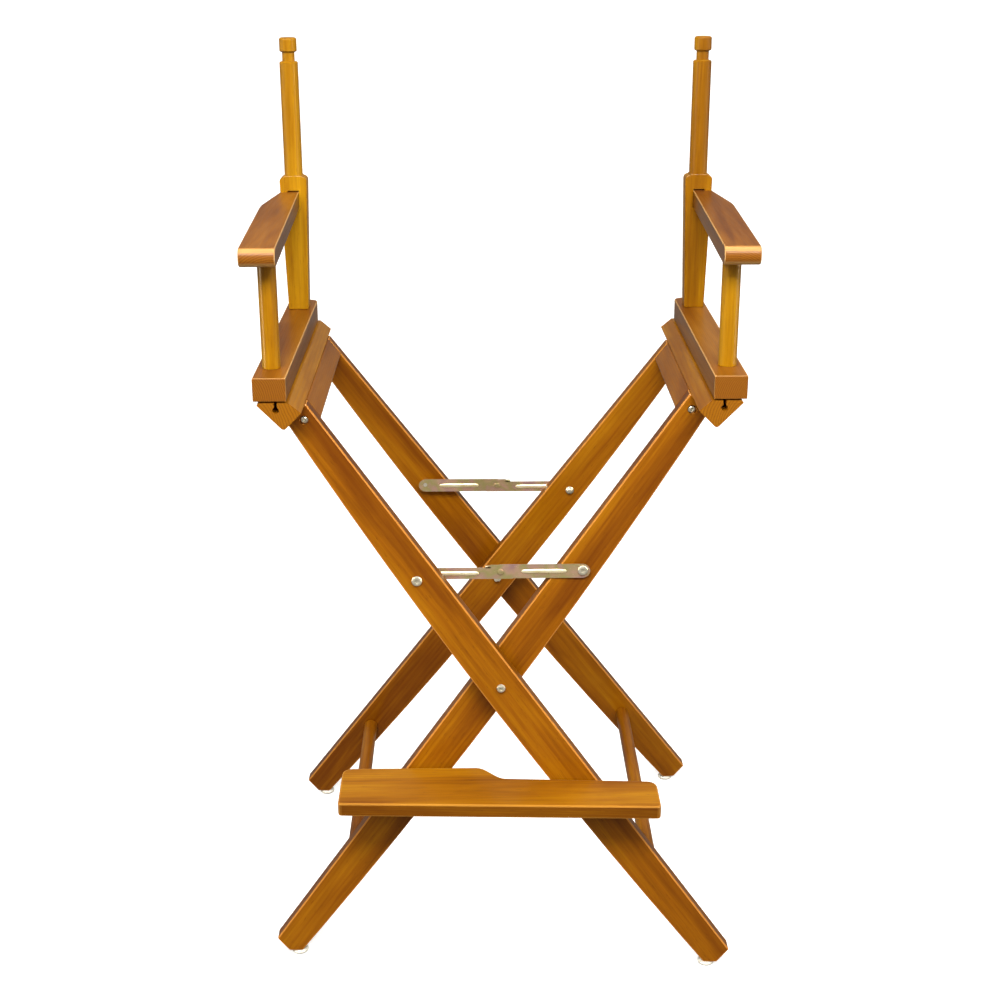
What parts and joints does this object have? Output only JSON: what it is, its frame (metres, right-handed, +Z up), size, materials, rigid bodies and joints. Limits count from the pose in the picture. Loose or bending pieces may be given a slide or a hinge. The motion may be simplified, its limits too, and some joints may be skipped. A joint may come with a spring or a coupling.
{
  "type": "director chair",
  "caption": "Bar-height folding director chair frame in lacquered wood, with arms, back posts, steel braces and a footrest board.",
  "frame": {"origin": "on the floor under the middle of the chair's outer box", "axes": "+X to the right as seen from the front, +Y to the back, +Z up"},
  "size_m": [0.613, 0.5502, 1.156],
  "materials": {
    "leg_wood": "semi-gloss lacquer",
    "arm_wood": "semi-gloss lacquer",
    "yellow_zinc": "yellow zinc plated",
    "bright_zinc": "zinc plated",
    "nylon": "matte"
  },
  "bodies": {
    "outer_frame": {"leg_front_outer": "leg_wood", "leg_rear_outer": "leg_wood", "glide_front_right": "nylon", "glide_rear_right": "nylon", "seat_rail_left": "arm_wood", "stretcher_left": "leg_wood", "lower_rod_right": "arm_wood", "stretcher_bolt_front_left": "bright_zinc", "stretcher_bolt_rear_left": "bright_zinc", "hinge_plate_rail_left": "bright_zinc", "pivot_bolt_front": "bright_zinc", "pivot_bolt_rear": "bright_zinc", "pivot_spacer_front": "bright_zinc", "pivot_spacer_rear": "bright_zinc", "pivot_nut_front": "bright_zinc", "pivot_nut_rear": "bright_zinc", "brace_bolt_front_left": "bright_zinc", "brace_bolt_rear_left": "bright_zinc", "brace_spacer_front": "bright_zinc", "brace_spacer_rear": "bright_zinc", "footrest_rest_bracket": "bright_zinc", "footrest_rest_screw": "bright_zinc"},
    "inner_frame": {"leg_front_inner": "leg_wood", "leg_rear_inner": "leg_wood", "glide_front_left": "nylon", "glide_rear_left": "nylon", "seat_rail_right": "arm_wood", "stretcher_right": "leg_wood", "lower_rod_left": "arm_wood", "stretcher_bolt_front_right": "bright_zinc", "stretcher_bolt_rear_right": "bright_zinc", "hinge_plate_rail_right": "bright_zinc", "brace_bolt_front_right": "bright_zinc", "brace_bolt_rear_right": "bright_zinc", "footrest_pivot_screw": "bright_zinc"},
    "left_arm": {"base_board_left": "arm_wood", "front_post_left": "arm_wood", "rear_post_left": "arm_wood", "armrest_left": "arm_wood", "hinge_plate_arm_left": "bright_zinc"},
    "right_arm": {"base_board_right": "arm_wood", "front_post_right": "arm_wood", "rear_post_right": "arm_wood", "armrest_right": "arm_wood", "hinge_plate_arm_right": "bright_zinc"},
    "front_brace_left": {"brace_arm_front_left": "yellow_zinc", "brace_rivet_head_front": "bright_zinc"},
    "front_brace_right": {"brace_arm_front_right": "yellow_zinc", "brace_rivet_tail_front": "bright_zinc"},
    "rear_brace_left": {"brace_arm_rear_left": "yellow_zinc", "brace_rivet_head_rear": "bright_zinc"},
    "rear_brace_right": {"brace_arm_rear_right": "yellow_zinc", "brace_rivet_tail_rear": "bright_zinc"},
    "footrest": {"footrest_board": "arm_wood", "footrest_pivot_bracket": "bright_zinc", "footrest_board_screw_rear": "bright_zinc", "footrest_board_screw_front": "bright_zinc"}
  },
  "joints": [
    {"name": "main_fold", "type": "hinge", "parent": "outer_frame", "child": "inner_frame", "pos_m": [0, 0.02095, 0.3895], "axis": [0, -1, 0], "range_deg": [0, 56]},
    {"name": "left_arm_hinge", "type": "hinge", "parent": "outer_frame", "child": "left_arm", "pos_m": [-0.2956, 0.02095, 0.7646], "axis": [0, -1, 0], "range_deg": [0, 28]},
    {"name": "right_arm_hinge", "type": "hinge", "parent": "inner_frame", "child": "right_arm", "pos_m": [0.2956, 0.02095, 0.7646], "axis": [0, 1, 0], "range_deg": [0, 28]},
    {"name": "front_brace_left_pivot", "type": "hinge", "parent": "outer_frame", "child": "front_brace_left", "pos_m": [-0.104, -0.14405, 0.53], "axis": [0, -1, 0], "range_deg": [0, 103.6]},
    {"name": "front_brace_right_pivot", "type": "hinge", "parent": "inner_frame", "child": "front_brace_right", "pos_m": [0.104, -0.14405, 0.53], "axis": [0, 1, 0], "range_deg": [0, 103.6]},
    {"name": "rear_brace_left_pivot", "type": "hinge", "parent": "outer_frame", "child": "rear_brace_left", "pos_m": [-0.104, 0.18595, 0.53], "axis": [0, -1, 0], "range_deg": [0, 103.6]},
    {"name": "rear_brace_right_pivot", "type": "hinge", "parent": "inner_frame", "child": "rear_brace_right", "pos_m": [0.104, 0.18595, 0.53], "axis": [0, 1, 0], "range_deg": [0, 103.6]},
    {"name": "footrest_pivot", "type": "hinge", "parent": "inner_frame", "child": "footrest", "pos_m": [-0.1356, -0.17605, 0.236], "axis": [0, -1, 0], "range_deg": [0, 56]}
  ],
  "couplings": [
    {"joint": "left_arm_hinge", "follows": "main_fold", "ratio": 0.5},
    {"joint": "right_arm_hinge", "follows": "main_fold", "ratio": 0.5},
    {"joint": "front_brace_left_pivot", "follows": "main_fold", "ratio": 1.85},
    {"joint": "front_brace_right_pivot", "follows": "main_fold", "ratio": 1.85},
    {"joint": "rear_brace_left_pivot", "follows": "main_fold", "ratio": 1.85},
    {"joint": "rear_brace_right_pivot", "follows": "main_fold", "ratio": 1.85},
    {"joint": "footrest_pivot", "follows": "main_fold", "ratio": 1}
  ]
}
